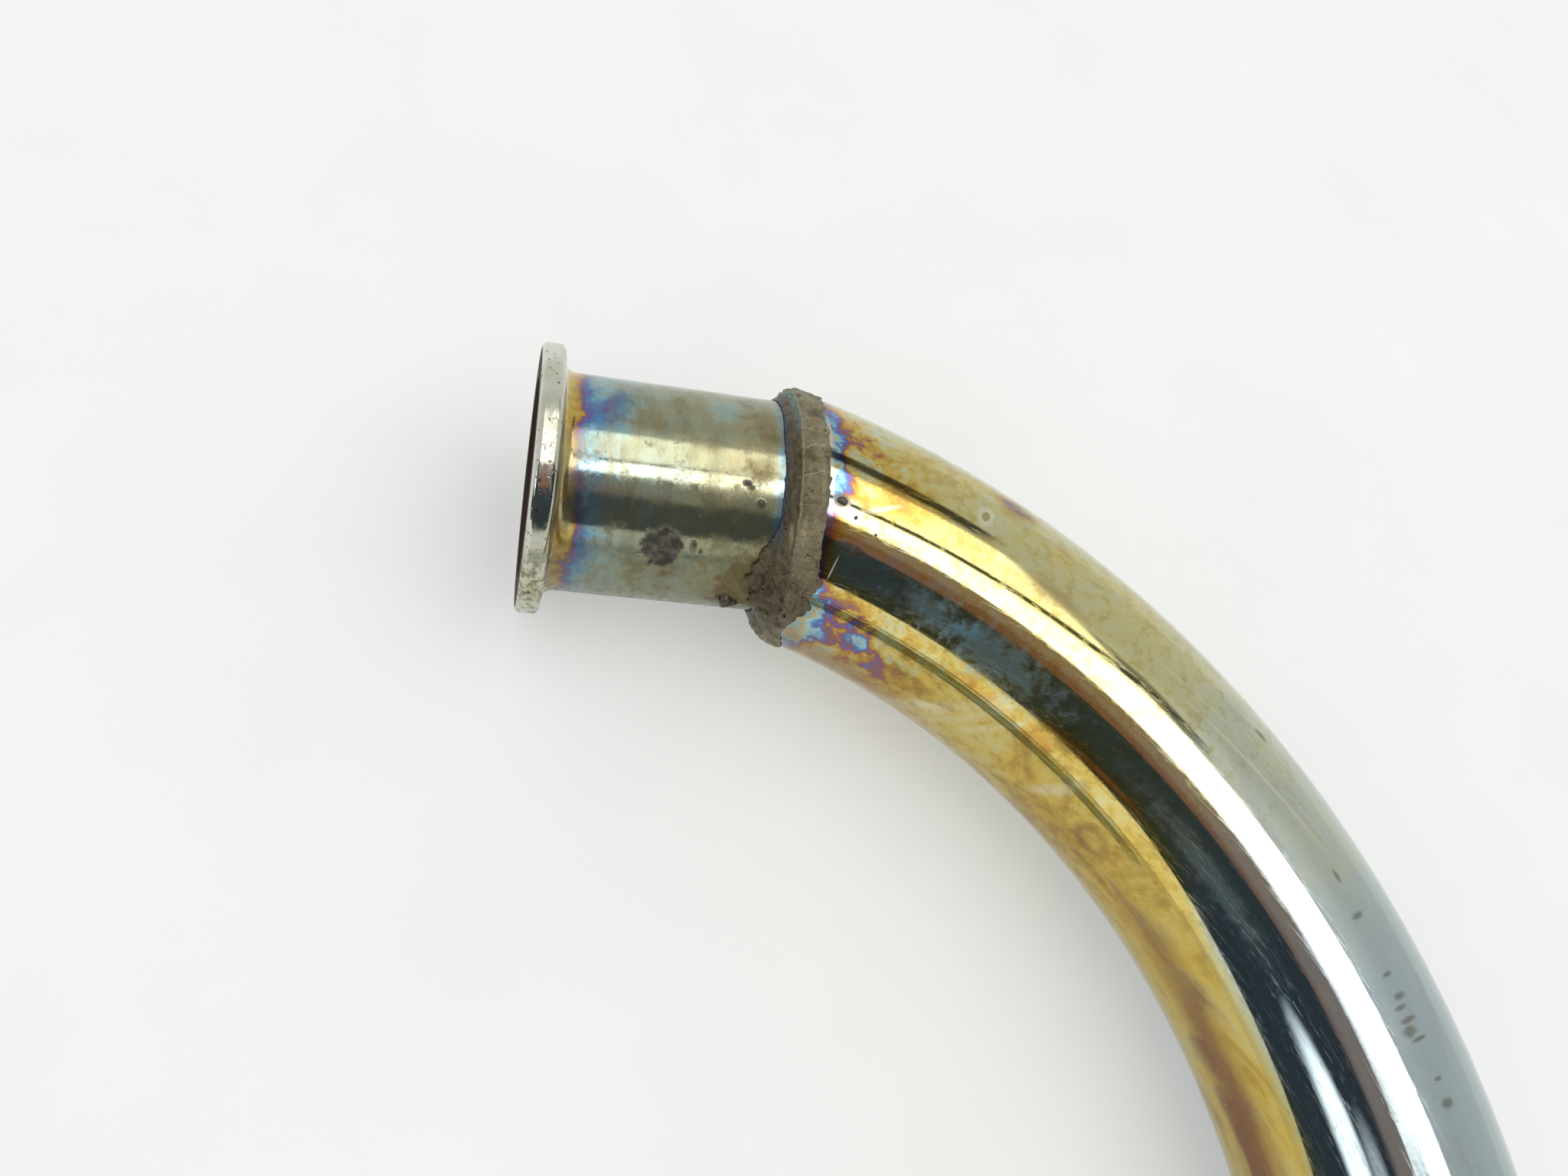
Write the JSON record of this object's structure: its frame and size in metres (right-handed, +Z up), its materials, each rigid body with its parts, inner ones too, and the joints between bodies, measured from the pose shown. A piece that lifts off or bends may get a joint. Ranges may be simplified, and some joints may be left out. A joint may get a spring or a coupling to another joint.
{
  "type": "motorcycle exhaust header",
  "caption": "Bent motorcycle exhaust header: flanged port spigot welded into a chromed pipe, heat-tinted, with a plain open tail for the silencer.",
  "frame": {"origin": "centre of the port spigot's mouth, on the front face of its lip", "axes": "+X runs into the header along the spigot, the bends turn towards -Y, and +Z is up as the header lies on its side"},
  "size_m": [0.282, 0.3894, 0.047],
  "materials": {
    "spigot_chrome": "worn chrome plate with straw and blue heat tint",
    "pipe_chrome": "bright chrome plate with gold, purple and blue heat tint by the weld",
    "weld_steel": "dull grey-brown scaled weld metal"
  },
  "bodies": {
    "root": {"port_spigot": "spigot_chrome", "header_pipe": "pipe_chrome", "joint_weld": "weld_steel"}
  },
  "joints": []
}
